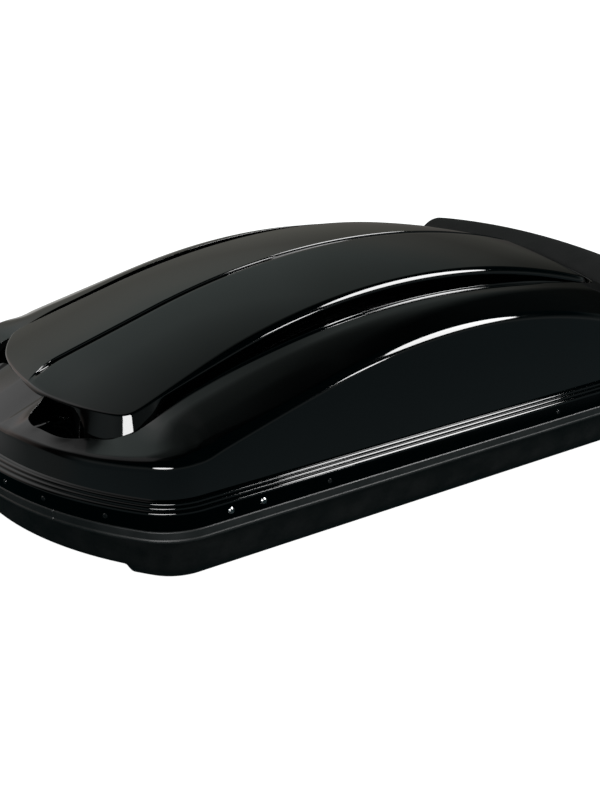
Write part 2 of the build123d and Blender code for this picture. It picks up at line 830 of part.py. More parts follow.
with BuildPart() as spoiler_screws:
    for y in spoiler_screw_ys:
        lean = math.degrees(math.asin(y / (crest(spoiler_screw_x) - crown_axis_z)))
        roof_r = crest(spoiler_screw_x) - wing_drop - crown_axis_z
        upright = Plane(origin=(spoiler_screw_x, 0, crown_axis_z), x_dir=(1, 0, 0), z_dir=(0, 0, 1))
        inner_roof = upright.rotated((-lean, 0, 0)).offset(roof_r - lid_wall - 3)
        with BuildSketch(inner_roof) as screw_head:
            Circle(5)
        extrude(screw_head.sketch, amount=-3)
finish(spoiler_screws, "spoiler_screws")
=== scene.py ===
"""Looks of the roof cargo box: lid, rim, base and spoiler skins, finishes, studio light and camera.

The frame is the CAD model's: +X from the nose to the tail, +Y from the hinge side to the lock side,
+Z up, in metres. The box stands closed and unlocked on its foot.
"""

import json
import math

import bmesh
import bpy
import numpy as np
from mathutils import Matrix, Vector


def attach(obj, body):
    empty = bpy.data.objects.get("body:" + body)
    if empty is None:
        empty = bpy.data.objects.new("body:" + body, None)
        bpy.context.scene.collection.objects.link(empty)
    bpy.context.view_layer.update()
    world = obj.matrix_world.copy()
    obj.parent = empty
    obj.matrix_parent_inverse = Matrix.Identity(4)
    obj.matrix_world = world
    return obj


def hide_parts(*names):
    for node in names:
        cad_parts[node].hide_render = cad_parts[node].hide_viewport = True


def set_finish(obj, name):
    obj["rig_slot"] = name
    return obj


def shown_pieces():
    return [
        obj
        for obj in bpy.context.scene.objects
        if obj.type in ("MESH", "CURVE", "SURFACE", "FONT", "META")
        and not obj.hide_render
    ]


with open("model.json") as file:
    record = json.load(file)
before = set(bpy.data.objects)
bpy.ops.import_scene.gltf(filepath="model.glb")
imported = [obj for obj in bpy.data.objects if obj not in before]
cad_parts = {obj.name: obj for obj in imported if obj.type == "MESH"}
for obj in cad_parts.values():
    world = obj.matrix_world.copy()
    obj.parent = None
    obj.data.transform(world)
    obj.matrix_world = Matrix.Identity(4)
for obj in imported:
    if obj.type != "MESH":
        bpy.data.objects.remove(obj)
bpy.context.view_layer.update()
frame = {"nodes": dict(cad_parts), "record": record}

# ------------------------------ plan of the box
NOSE_CENTRE_X, NOSE_R = -0.113, 0.607
TAIL_CENTRE_X, TAIL_R = -0.88, 1.6
HALF_WIDTH = 0.4325
NOSE_CORNER = (-0.4872, 0.314, 0.1185)
TAIL_CORNER = (0.5666, 0.3125, 0.12)
NOSE_ANGLE = math.radians(40)
TAIL_ANGLE = math.pi - math.radians(12.19)

# ------------------------------ roof
CREST_X, CREST_Z, CREST_R = 0.083, 0.3787, 1.4575
NOSE_SLOPE = 0.3113
CENTRE_LEAN = 0.05
CROWN_R = 1.8

# ------------------------------ lid wall
SKIRT_INSET = 0.003
SKIRT_LOW, SKIRT_TOP = 0.1, 0.128
RIDGE_FOOT = 0.126
RIDGE_RADII = (0.006, 0.005, 0.005)
WALL_INSET = 0.022
WALL_FOOT = 0.143
WALL_SLOPE = math.tan(math.radians(9))
LID_WALL = 0.004
CREASE_TAIL_INSET, CREASE_TAIL_DROP = 0.014, 0.012

# ------------------------------ groove, its lip and the wing beside it
LIP_DROP, LIP_DROP_SIDE = 0.004, 0.008
LIP_RISE = 0.006
SILL_DEPTH = 0.014
FLAT_DEPTH, GROOVE_DEPTH = 0.002, 0.038
WING_SHARE, WING_SHARE_LOSS, WING_RISE = 0.52, 0.16, 0.0075


# ============================== curves
def crest(x):
    """Height of the roof's centre line."""
    lean = math.atan(NOSE_SLOPE)
    tangent_x = CREST_X - CREST_R * math.sin(lean)
    start_z = CREST_Z - CREST_R * (1 - math.cos(lean))
    arc = CREST_Z - CREST_R + np.sqrt(CREST_R**2 - (np.maximum(x, tangent_x) - CREST_X) ** 2)
    return np.where(x < tangent_x, start_z - (tangent_x - x) * NOSE_SLOPE, arc)


def roof(x, y):
    """Height of the crowned roof, with its soft fold along the centre line."""
    return crest(x) - CENTRE_LEAN * np.abs(y) - y**2 / (2 * CROWN_R)


def eased(knots, values, at, soften):
    """Smooth curve through values placed at knots, averaged over a distance of soften."""
    knots = np.asarray(knots, float)
    values = np.asarray(values, float)
    slopes = np.gradient(values, knots)

    def through(place):
        place = np.clip(place, knots[0], knots[-1])
        piece = np.clip(np.searchsorted(knots, place, side="right") - 1, 0, len(knots) - 2)
        span = knots[piece + 1] - knots[piece]
        part = (place - knots[piece]) / span
        rise = values[piece + 1] - values[piece]
        start, end = slopes[piece] * span, slopes[piece + 1] * span
        cubic = start + end - 2 * rise
        square = 3 * rise - 2 * start - end
        return values[piece] + part * (start + part * (square + part * cubic))

    shifts = np.linspace(-1, 1, 9)
    weights = 1 - 0.8 * shifts**2
    total = sum(weight * through(at + soften * shift) for weight, shift in zip(weights, shifts))
    return total / weights.sum()


def ramp(value, low, high):
    """0 below low, 1 above high, smooth between them."""
    part = np.clip((value - low) / (high - low), 0, 1)
    return part * part * (3 - 2 * part)


def run_lengths(points):
    """Length along a line of plan points up to each of them."""
    steps = np.linalg.norm(np.diff(points, axis=0), axis=1)
    return np.concatenate([[0], np.cumsum(steps)])


def points_at(points, lengths, distance):
    """Plan points at distances along a line whose points lie at the given lengths."""
    xs = np.interp(distance, lengths, points[:, 0])
    ys = np.interp(distance, lengths, points[:, 1])
    return np.stack([xs, ys], -1)


# ============================== stations round the near half
NOSE_LENGTH = NOSE_R * NOSE_ANGLE
NOSE_CORNER_LENGTH = NOSE_CORNER[2] * (math.pi / 2 - NOSE_ANGLE)
SIDE_LENGTH = TAIL_CORNER[0] - NOSE_CORNER[0]
TAIL_CORNER_LENGTH = TAIL_CORNER[2] * (TAIL_ANGLE - math.pi / 2)
TAIL_LENGTH = TAIL_R * (math.pi - TAIL_ANGLE)
SIDE_START = NOSE_LENGTH + NOSE_CORNER_LENGTH
SIDE_END = SIDE_START + SIDE_LENGTH
TAIL_START = SIDE_END + TAIL_CORNER_LENGTH
HALF_LENGTH = TAIL_START + TAIL_LENGTH


def spread(start, end, spacing):
    """Places from start up to, but not including, end, about spacing apart."""
    return np.linspace(start, end, max(2, round((end - start) / spacing)), endpoint=False)


def stations(extra=()):
    """Places round the near half of the rim, from the nose's middle to the tail's middle.

    They are closest together where the nose recess opens.
    """
    parts = [
        spread(0, 0.07, 0.004),
        spread(0.07, 0.16, 0.0016),
        spread(0.16, NOSE_LENGTH, 0.004),
        spread(NOSE_LENGTH, SIDE_START, 0.0022),
        spread(SIDE_START, SIDE_END, 0.008),
        spread(SIDE_END, TAIL_START, 0.004),
        spread(TAIL_START, HALF_LENGTH, 0.01),
        np.array([HALF_LENGTH]),
        np.asarray(extra, float),
    ]
    return np.unique(np.concatenate(parts))


def outline(place, inset):
    """Plan point of the near half's rim at each place, pulled in by inset."""
    nose_turn = np.clip(place / NOSE_R, 0, NOSE_ANGLE)
    corner_turn = NOSE_ANGLE + np.clip((place - NOSE_LENGTH) / NOSE_CORNER[2], 0, math.pi / 2 - NOSE_ANGLE)
    rear_turn = math.pi / 2 + np.clip((place - SIDE_END) / TAIL_CORNER[2], 0, TAIL_ANGLE - math.pi / 2)
    tail_turn = TAIL_ANGLE + np.clip((place - TAIL_START) / TAIL_R, 0, math.pi - TAIL_ANGLE)
    side_x = NOSE_CORNER[0] + np.clip(place - SIDE_START, 0, SIDE_LENGTH)

    def arc(centre_x, centre_y, radius, turn):
        return np.stack(
            [centre_x - (radius - inset) * np.cos(turn), -centre_y - (radius - inset) * np.sin(turn)], -1
        )

    points = arc(NOSE_CENTRE_X, 0, NOSE_R, nose_turn)
    on_corner = arc(*NOSE_CORNER, corner_turn)
    on_side = np.stack([side_x, inset - HALF_WIDTH + 0 * side_x], -1)
    on_rear = arc(*TAIL_CORNER, rear_turn)
    on_tail = arc(TAIL_CENTRE_X, 0, TAIL_R, tail_turn)
    for start, piece in (
        (NOSE_LENGTH, on_corner),
        (SIDE_START, on_side),
        (SIDE_END, on_rear),
        (TAIL_START, on_tail),
    ):
        points = np.where((place >= start)[:, None], piece, points)
    return points


def ring(place, inset, height):
    """Points round the near half at an inset and height, each a number or one value per place."""
    inset = np.broadcast_to(np.asarray(inset, float), place.shape)
    height = np.broadcast_to(np.asarray(height, float), place.shape)
    return np.concatenate([outline(place, inset), height[:, None]], 1)


SHARP = (0, 0, 0)


def rounded(points, blends):
    """Profiles through control points, one row of samples per place, with each inner corner rounded.

    points is a list of arrays of places by 3. blends holds, for each inner point, the distances
    before and after it that the rounding takes, and its number of samples.
    """
    samples = [points[0][:, None]]
    for before, here, after, (lead, trail, steps) in zip(points, points[1:], points[2:], blends):
        if not steps:
            samples.append(here[:, None])
            continue
        to_before, to_after = before - here, after - here
        before_length = np.linalg.norm(to_before, axis=1)
        after_length = np.linalg.norm(to_after, axis=1)
        lead_share = np.minimum(lead, 0.49 * before_length) / np.maximum(before_length, 1e-9)
        trail_share = np.minimum(trail, 0.49 * after_length) / np.maximum(after_length, 1e-9)
        start = here + to_before * lead_share[:, None]
        end = here + to_after * trail_share[:, None]
        part = np.linspace(0, 1, steps)[None, :, None]
        curve = (
            start[:, None] * (1 - part) ** 2 + 2 * here[:, None] * part * (1 - part) + end[:, None] * part**2
        )
        samples.append(curve)
    samples.append(points[-1][:, None])
    return np.concatenate(samples, 1)


def whole(half):
    """Both halves of a ring of plan points or profiles, from those of the near half."""
    mirror = np.array([1, -1, 1])[: half.shape[-1]]
    return np.concatenate([half, half[1:-1][::-1] * mirror])


# ============================== meshes
def placed(name, data):
    """New object in the scene that shows some data."""
    thing = bpy.data.objects.new(name, data)
    bpy.context.scene.collection.objects.link(thing)
    return thing


def new_object(name, verts, faces, slot, body):
    """Smooth-shaded mesh object that rides on a body and names its material slot."""
    mesh = bpy.data.meshes.new(name)
    mesh.from_pydata([tuple(v) for v in verts], [], faces)
    mesh.validate()
    work = bmesh.new()
    work.from_mesh(mesh)
    bmesh.ops.remove_doubles(work, verts=work.verts, dist=0.00002)
    bmesh.ops.recalc_face_normals(work, faces=work.faces)
    work.to_mesh(mesh)
    work.free()
    mesh.polygons.foreach_set("use_smooth", [True] * len(mesh.polygons))
    thing = placed(name, mesh)
    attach(thing, body)
    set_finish(thing, slot)
    return thing


def mark_sharp(thing, degrees):
    """Keeps edges that turn by more than this many degrees crisp."""
    work = bmesh.new()
    work.from_mesh(thing.data)
    for edge in work.edges:
        if len(edge.link_faces) == 2 and edge.calc_face_angle(0) > math.radians(degrees):
            edge.smooth = False
    work.to_mesh(thing.data)
    work.free()


def sheet(grid, round_rows=False, round_columns=False):
    """Points of a grid, row by row, and the quads between them."""
    rows, columns = grid.shape[:2]
    faces = []
    for row in range(rows if round_rows else rows - 1):
        here, below = row * columns, (row + 1) % rows * columns
        for column in range(columns if round_columns else columns - 1):
            beside = (column + 1) % columns
            faces.append((here + column, here + beside, below + beside, below + column))
    return grid.reshape(-1, 3), faces


def joined(verts, faces, more_verts, more_faces):
    """Points and faces of two meshes as one."""
    first = len(verts)
    moved = [tuple(first + corner for corner in face) for face in more_faces]
    return list(verts) + list(more_verts), faces + moved


# ============================== lid: wall, shoulders and groove
# Places round the rim, from the nose's middle, between which the lid's shape changes.
RECESS_OPENS = (0.083, 0.092)
CORNER_TURNS = (0.05, 0.36)
SILL_FALLS, SILL_RISES = (0.27, 0.38), (0.43, 0.6)
WING_LIFTS = (0.4, 0.56)
SIDE_STARTS = (0.45, 0.72)
RISER_ENDS = (1.3, 1.5)
CREASE_JOINS_SIDE = (SIDE_START - 0.01, SIDE_START + 0.05)
CREASE_JOINS_TAIL = (SIDE_END - 0.12, SIDE_END + 0.06)

# Each line gives a place round the rim and the plan point of the groove's outer lip there.
LIP = (
    (0.0, -0.604, 0.0),
    (0.045, -0.602, -0.045),
    (0.082, -0.599, -0.084),
    (0.092, -0.607, -0.0965),
    (0.112, -0.632, -0.1145),
    (0.124, -0.6465, -0.126),
    (0.14, -0.6505, -0.142),
    (0.18, -0.6435, -0.175),
    (0.225, -0.629, -0.2155),
    (0.27, -0.607, -0.242),
    (0.31, -0.588, -0.2545),
    (0.36, -0.566, -0.2625),
    (0.42, -0.54, -0.271),
    (0.47, -0.515, -0.2775),
    (0.527, -0.483, -0.2785),
    (0.585, -0.428, -0.275),
    (0.654, -0.36, -0.272),
    (0.76, -0.254, -0.2755),
    (0.88, -0.134, -0.2795),
    (1.014, 0.0, -0.284),
    (1.184, 0.17, -0.287),
    (1.314, 0.3, -0.2835),
    (1.414, 0.4, -0.272),
    (1.504, 0.487, -0.257),
    (1.581, 0.533, -0.24),
    (1.66, 0.552, -0.215),
    (1.744, 0.557, -0.18),
    (1.9, 0.557, -0.09),
    (HALF_LENGTH, 0.557, 0.0),
)

# Plan points well under the raised panel's edge, at the same kind of places.
UNDER_PANEL = (
    (0.0, -0.59, 0.0),
    (0.082, -0.588, -0.07),
    (0.14, -0.58, -0.11),
    (0.27, -0.55, -0.18),
    (0.36, -0.53, -0.22),
    (0.42, -0.515, -0.232),
    (0.47, -0.5, -0.236),
    (0.527, -0.476, -0.236),
    (0.654, -0.36, -0.227),
    (0.88, -0.134, -0.214),
    (1.014, 0.0, -0.212),
    (1.184, 0.17, -0.214),
    (1.314, 0.3, -0.221),
    (1.504, 0.485, -0.232),
    (1.581, 0.499, -0.222),
    (1.66, 0.503, -0.2),
    (1.744, 0.503, -0.17),
    (HALF_LENGTH, 0.503, 0.0),
)

# Places round the nose and the heights of its shoulder there.
NOSE_SHOULDER = (
    (0.0, 0.188),
    (0.16, 0.187),
    (0.257, 0.188),
    (0.32, 0.192),
    (0.36, 0.196),
    (0.4, 0.199),
    (0.43, 0.202),
    (0.483, 0.204),
    (0.527, 0.2035),
)


def plan_curve(table, place, soften):
    """Plan points of a curve given by a table of places and points."""
    knots, xs, ys = zip(*table)
    return np.stack([eased(knots, xs, place, soften), eased(knots, ys, place, soften)], -1)


def arch(x):
    """Height of the shoulder crease along the side, an arch with a straight front end."""
    middle, peak, radius, lean = 0.08, 0.3065, 1.15, 0.25
    joint = middle - lean * radius
    curve = peak - (x - middle) ** 2 / (2 * radius)
    return np.where(x < joint, peak - lean**2 * radius / 2 - lean * (joint - x), curve)


def shoulder_height(place):
    """Height of the crease between the lid's wall and its shoulder or nose deck."""
    x = NOSE_CORNER[0] + place - SIDE_START
    knots, heights = zip(*NOSE_SHOULDER)
    nose = eased(knots, heights, place, soften=0.02)
    side = arch(x)
    tail_points = outline(place, WALL_INSET + CREASE_TAIL_INSET)
    tail = roof(tail_points[:, 0], tail_points[:, 1]) - CREASE_TAIL_DROP
    height = nose + (side - nose) * ramp(place, *CREASE_JOINS_SIDE)
    return height + (tail - height) * ramp(place, *CREASE_JOINS_TAIL)


def side_normals(points):
    """Unit normals in plan, pointing inwards, of a curve that runs from the nose to the tail."""
    along = np.gradient(points, axis=0)
    along /= np.linalg.norm(along, axis=1)[:, None]
    return np.stack([-along[:, 1], along[:, 0]], -1)


def skirt_levels(place):
    """Outer points of the skirt: its lower edge, and the rounded ridges that step it in to the wall."""
    points = [ring(place, SKIRT_INSET, SKIRT_LOW)]
    inset, height = SKIRT_INSET, RIDGE_FOOT
    for radius in RIDGE_RADII:
        for turn in np.linspace(0, math.pi / 2, 8):
            inwards_by = inset + radius * (1 - math.cos(turn))
            points.append(ring(place, inwards_by, height + radius * math.sin(turn)))
        inset += radius
        height += radius
    points.append(ring(place, WALL_INSET, WALL_FOOT + 0.0006))
    return points, [SHARP] * (len(points) - 1)


def inner_skirt_levels(place, gap):
    """Inner points of the skirt and the wall's foot, which follow the ridges as one slope."""
    points = [
        ring(place, SKIRT_INSET + gap, SKIRT_LOW),
        ring(place, SKIRT_INSET + gap, SKIRT_TOP),
        ring(place, WALL_INSET + gap, WALL_FOOT),
    ]
    return points, [(0.003, 0.003, 3)] * 2


def lid_profiles(place, gap):
    """Profiles of the lid from its skirt to under the panel, each pulled in by gap."""
    shoulder_z = shoulder_height(place) - gap
    shoulder_inset = WALL_INSET + (shoulder_z + gap - WALL_FOOT) * WALL_SLOPE + gap
    in_recess = ramp(place, *RECESS_OPENS)
    on_side = ramp(place, *SIDE_STARTS)
    riser = LIP_RISE * on_side * (1 - ramp(place, *RISER_ENDS))
    lip = plan_curve(LIP, place, soften=0.006)
    inwards = side_normals(lip)
    sill_drop = SILL_DEPTH * ramp(place, *SILL_FALLS) * (1 - ramp(place, *SILL_RISES))
    lip_drop = LIP_DROP * (1 - in_recess) + LIP_DROP_SIDE * on_side + sill_drop
    lip_z = roof(lip[:, 0], lip[:, 1]) - lip_drop - gap
    depth = FLAT_DEPTH + GROOVE_DEPTH * in_recess
    lip = lip - inwards * gap * in_recess[:, None]
    lip_top = lip + inwards * (0.0005 + 0.002 * on_side)[:, None]
    floor_edge = lip + inwards * (0.003 + 0.004 * in_recess + 0.002 * on_side)[:, None]
    under = plan_curve(UNDER_PANEL, place, soften=0.01)
    shoulder = ring(place, shoulder_inset, shoulder_z)
    lip_point = np.concatenate([lip, lip_z[:, None]], 1)
    side = ramp(place, *WING_LIFTS)
    wing_share = (WING_SHARE - WING_SHARE_LOSS * side)[:, None]
    wing = shoulder * wing_share + lip_point * (1 - wing_share)
    wing[:, 2] += WING_RISE * side
    corner = ramp(place, *CORNER_TURNS)
    soft_before = 0.007 + 0.010 * corner - 0.005 * on_side
    soft_after = 0.010 + 0.025 * corner - 0.020 * on_side
    points, blends = inner_skirt_levels(place, gap) if gap else skirt_levels(place)
    points += [
        shoulder,
        wing,
        lip_point,
        np.concatenate([lip_top, (lip_z + riser)[:, None]], 1),
        np.concatenate([floor_edge, (lip_z - depth)[:, None]], 1),
        np.concatenate([under, (lip_z - depth)[:, None]], 1),
    ]
    blends += [
        (soft_before, soft_after, 14),
        (0.035, 0.03, 14),
        (0.004, 0.001, 5),
        (0.0022, 0.0022, 7),
        (0.008, 0.006, 5),
    ]
    return rounded(points, blends)


def lid_ring():
    """Outer and inner skins of the lid round the panel, joined along the skirt's lower edge."""
    place = stations()
    outer = whole(lid_profiles(place, 0))
    inner = whole(lid_profiles(place, LID_WALL))
    return sheet(np.concatenate([inner[:, ::-1], outer], 1), round_rows=True)


# ============================== lid: raised panel
PANEL_NOSE_X, PANEL_NOSE_R, PANEL_NOSE_HALF = -0.611, 0.433, 0.251
PANEL_TAIL_X = 0.515
PANEL_CORNER_R = 0.03
PANEL_SIDE_X, PANEL_TAIL_RUN = -0.515, 0.245
PANEL_EDGE_R, PANEL_FRONT_EDGE_R = 0.012, 0.004
WALL_LEAN = 0.48
FOLD_DEPTH, FOLD_FAR_WIDTH, FOLD_NEAR_WIDTH = 0.008, 0.0032, 0.015
FOLD_FADE = 0.06
FOLD_HOOK, FOLD_HOOK_START, FOLD_HOOK_SPREAD = 0.034, -0.536, (0.01, 0.16)
PANEL_WAIST, PANEL_TAPER, PANEL_FLARE = 0.224, 0.0047, 0.1015
PANEL_EDGE_TURN = math.radians(86)
PANEL_DROP, PANEL_DROP_NOSE = 0.05, 0.004
PANEL_TUCK_OUT, PANEL_TUCK_DOWN = 0.002, 0.006
HOLLOW_R, HOLLOW_R_NOSE = 0.001, 0.011

# Places along X between which the panel's edge changes.
EDGE_WIDENS = (-0.52, -0.3)
HOLLOW_SHRINKS = (-0.52, -0.46)
LEAN_STARTS, LEAN_ENDS = (-0.585, -0.562), (-0.49, -0.44)
WALL_SHORTENS = (-0.56, -0.48)


def panel_half(x):
    """Half width of the waisted panel at x."""
    return PANEL_WAIST - PANEL_TAPER * x + PANEL_FLARE * x**2


def panel_track():
    """Plan points round the panel's near half, from the nose to the tail, with rounded corners."""
    centre_x = PANEL_NOSE_X + PANEL_NOSE_R
    end = math.asin(PANEL_NOSE_HALF / PANEL_NOSE_R)
    turn = np.linspace(0, end, 60)
    nose = np.stack([centre_x - PANEL_NOSE_R * np.cos(turn), -PANEL_NOSE_R * np.sin(turn)], -1)
    xs = np.linspace(nose[-1, 0], PANEL_TAIL_X, 160)
    side = np.stack([xs, -panel_half(xs)], -1)
    ys = np.linspace(side[-1, 1], 0, 50)
    tail = np.stack([PANEL_TAIL_X + 0 * ys, ys], -1)
    track = np.concatenate([nose, side[1:], tail[1:]])
    lengths = run_lengths(track)
    count = 1600
    dense = points_at(track, lengths, np.linspace(0, lengths[-1], count))
    reach = round(0.5 * PANEL_CORNER_R * count / lengths[-1])
    margin = 4 * reach
    mirrored = np.concatenate(
        [dense[1 : margin + 1][::-1] * [1, -1], dense, dense[-margin - 1 : -1][::-1] * [1, -1]]
    )
    kernel = np.ones(2 * reach + 1) / (2 * reach + 1)
    for _ in range(3):
        mirrored = np.stack([np.convolve(mirrored[:, axis], kernel, "same") for axis in (0, 1)], -1)
    return mirrored[margin : margin + count]


def fold_depth(x, y):
    """Depth of the narrow fold along the panel's centre line, which fades out at the nose."""
    fade = ramp(x, PANEL_NOSE_X, PANEL_NOSE_X + FOLD_FADE)
    width = np.where(y > 0, FOLD_FAR_WIDTH, FOLD_NEAR_WIDTH)
    return FOLD_DEPTH * fade * (1 - ramp(np.abs(y), 0.0, width))


def fold_swing(x, y):
    """Sideways shift of the panel's points, so that the fold hooks to the near side at the nose."""
    bend = np.clip((FOLD_HOOK_START - x) / (FOLD_HOOK_START - PANEL_NOSE_X), 0, 1) ** 2
    return -FOLD_HOOK * bend * (1 - ramp(np.abs(y), *FOLD_HOOK_SPREAD))


def edge_radius(x):
    """Radius of the panel's rolled edge: tight round the nose, generous along the sides."""
    return PANEL_FRONT_EDGE_R + (PANEL_EDGE_R - PANEL_FRONT_EDGE_R) * ramp(x, *EDGE_WIDENS)


def wall_foot(x):
    """Radius of the hollow at the foot of the panel's side wall, large only in the nose recess."""
    return HOLLOW_R + HOLLOW_R_NOSE * (1 - ramp(x, *HOLLOW_SHRINKS))


def wall_lean(x):
    """Outward slope of the panel's side wall, which leans only round the nose corners."""
    return WALL_LEAN * ramp(x, *LEAN_STARTS) * (1 - ramp(x, *LEAN_ENDS))


def wall_drop(x):
    """Height of the panel's side wall, from its top surface to below the floor of the groove."""
    return PANEL_DROP + PANEL_DROP_NOSE * (1 - ramp(x, *WALL_SHORTENS))


def panel_plan(inset):
    """Plan grid of the panel's near half inside its rolled edge.

    Its rows run from the centre line outwards, closest together at the fold, and its columns from the
    nose to the tail.
    """
    track = panel_track()
    track = track + side_normals(track) * (edge_radius(track[:, 0]) + inset)[:, None]
    track[[0, -1], 1] = 0
    lengths = run_lengths(track)
    front = len(track) // 2
    nose_end = np.interp(PANEL_SIDE_X, track[:front, 0], lengths[:front])
    tail_start = lengths[-1] - PANEL_TAIL_RUN
    near_fold = np.array([0, 0.5, 1, 1.5, 2, 2.6, 3.4, 4.5, 6, 8, 10, 13]) / 250
    shares = np.concatenate([near_fold, np.linspace(0.06, 1, 40)])
    nose = points_at(track, lengths, shares * nose_end)
    tail = points_at(track, lengths, lengths[-1] - shares * (lengths[-1] - tail_start))
    side = points_at(track, lengths, np.linspace(nose_end, tail_start, 160))
    along = np.linspace(0, 1, len(side))[None, :, None]
    tall = np.stack([np.ones_like(shares), shares], -1)[:, None]
    across = nose[:, None] + (tail - nose)[:, None] * along
    lengthways = side[None] * tall
    corners = side[0] * tall + (side[-1] - side[0]) * tall * along
    return across + lengthways - corners


def panel_mesh():
    """Raised centre panel with its rolled edge, and the skin under it."""
    verts, faces = [], []
    for drop in (0.0, LID_WALL):
        half = panel_plan(drop)
        rows = np.concatenate([half[::-1], half[1:] * [1, -1]])
        x, y = rows[..., 0], rows[..., 1]
        top = np.stack([x, y + fold_swing(x, y), roof(x, y) - drop - fold_depth(x, y)], -1)
        verts, faces = joined(verts, faces, *sheet(top))
        edge = np.concatenate([half[:, 0], half[-1, 1:], half[::-1][1:, -1]])
        outwards = -side_normals(edge)
        outwards[[0, -1]] = [[-1, 0], [1, 0]]
        edge, outwards = whole(edge), whole(outwards)
        fold = fold_depth(edge[:, 0], edge[:, 1])
        swing = fold_swing(edge[:, 0], edge[:, 1])

        def level(reach, fall):
            plan = edge + outwards * np.broadcast_to(reach, len(edge))[:, None]
            height = roof(plan[:, 0], plan[:, 1]) - drop - fold - fall
            return np.column_stack([plan[:, 0], plan[:, 1] + swing, height])

        roll = edge_radius(edge[:, 0])
        lean = wall_lean(edge[:, 0])
        full_turn = PANEL_EDGE_TURN - np.arctan(lean)
        levels = [
            level(roll * np.sin(full_turn * share), roll * (1 - np.cos(full_turn * share)))
            for share in np.linspace(0, 1, 12)
        ]
        base = wall_drop(edge[:, 0])
        foot = wall_foot(edge[:, 0])
        wall_top = roll * (1 - np.cos(full_turn))
        wall_end = base - foot
        for share in (0.04, 0.3, 0.6, 0.96):
            fall = wall_top + (wall_end - wall_top) * share
            levels.append(level(roll * np.sin(full_turn) + lean * (fall - wall_top), fall))
        out = roll + lean * (wall_end - wall_top)
        for turn in np.radians(np.linspace(6, 90, 8)):
            levels.append(level(out + foot * (1 - math.cos(turn)), base - foot * (1 - math.sin(turn))))
        levels.append(level(out + foot + PANEL_TUCK_OUT, base + PANEL_TUCK_DOWN))
        verts, faces = joined(verts, faces, *sheet(np.stack(levels), round_columns=True))
    return verts, faces


def build_lid():
    """The lid's skin, in place of the CAD lid shell."""
    verts, faces = joined(*lid_ring(), *panel_mesh())
    lid = new_object("lid_skin", verts, faces, "lid_gloss", "lid")
    mark_sharp(lid, 50)
    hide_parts("lid_shell")


build_lid()

# ============================== rim
RIM_SEAM_Y = 0.251
RIM_SEAM = NOSE_R * math.asin(RIM_SEAM_Y / NOSE_R)
RIM_SEAM_DEPTH = 0.0014
RIM_SEAM_FLAT, RIM_SEAM_EDGE, RIM_SEAM_REACH = 0.0006, 0.0009, 0.0016
RIM_FACE_DEPTH = 0.009
# Insets and heights round the band's section, from the inner end of its lower lip to that of its upper one.
RIM_SECTION = (
    (0.010, 0.0805),
    (0.0008, 0.080),
    (0.0, 0.0812),
    (0.0, 0.0838),
    (0.0014, 0.0856),
    (0.0012, 0.0975),
    (0.0026, 0.099),
    (0.009, 0.0988),
    (0.010, 0.0982),
)


def build_rim():
    """Grey band round the base's edge, with its rolled lips and the joints at the nose."""
    shifts = (RIM_SEAM_FLAT, RIM_SEAM_EDGE, RIM_SEAM_REACH)
    place = stations([RIM_SEAM + side * shift for side in (-1, 1) for shift in shifts])
    dip = RIM_SEAM_DEPTH * (1 - ramp(np.abs(place - RIM_SEAM), RIM_SEAM_FLAT, RIM_SEAM_EDGE))
    points = [ring(place, inset + dip * (inset < RIM_FACE_DEPTH), height) for inset, height in RIM_SECTION]
    blends = [(0.0004, 0.0004, 3)] + [(0.0008, 0.0008, 4)] * 5 + [(0.0004, 0.0004, 2)]
    verts, faces = sheet(whole(rounded(points, blends)), round_rows=True, round_columns=True)
    rim = new_object("rim_skin", verts, faces, "rim_grey", "base")
    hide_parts("rim_profile")


build_rim()

# ============================== base
BASE_WALL = 0.003
FOOT_HALF_LENGTH = 0.575
FOOT_STEP = 0.02
FOOT_STEP_RUN = 0.002
END_MIDDLE_X = 0.5
FLANGE_INSET, FLANGE_LOW, FLANGE_TOP = 0.0034, 0.0865, 0.089
FLOOR_RING = 0.062
BEAD_PITCH, BEAD_LENGTH, BEAD_WIDTH, BEAD_HEIGHT = 0.14, 0.82, 0.026, 0.005
# Insets and heights of a bead's rounded side, from its foot to its flat top.
BEAD_STEPS = ((0, 0), (0.0012, 0.003), (0.0022, 0.0044), (0.004, BEAD_HEIGHT))
SLOT_X, SLOT_Y, SLOT_LENGTH, SLOT_WIDTH = 0.33, 0.29, 0.22, 0.009


def foot_level(x):
    """Height of the base's underside at x: the foot, or the raised nose and tail beyond it."""
    return FOOT_STEP * ramp(np.abs(x), FOOT_HALF_LENGTH - FOOT_STEP_RUN, FOOT_HALF_LENGTH + FOOT_STEP_RUN)


def stadium(x, y, length, width, height):
    """Points round a slot's outline at a height."""
    radius = width / 2
    points = []
    for side in (1, -1):
        for turn in np.linspace(-math.pi / 2, math.pi / 2, 10):
            along = side * (length / 2 - radius + radius * math.cos(turn))
            points.append((x + along, y + side * radius * math.sin(turn), height))
    return points


def filled(work, loops):
    """Fills flat loops of points, the first the outer one and the others holes in it."""
    edges = []
    for loop in loops:
        verts = [work.verts.new(point) for point in loop]
        edges.extend(work.edges.new((verts[i], verts[(i + 1) % len(verts)])) for i in range(len(verts)))
    bmesh.ops.triangle_fill(work, use_beauty=True, use_dissolve=False, edges=edges)


def wall_between(work, low, high):
    """Quads between two loops with the same number of corners."""
    for i in range(len(low)):
        after = (i + 1) % len(low)
        work.faces.new([low[i], low[after], high[after], high[i]])


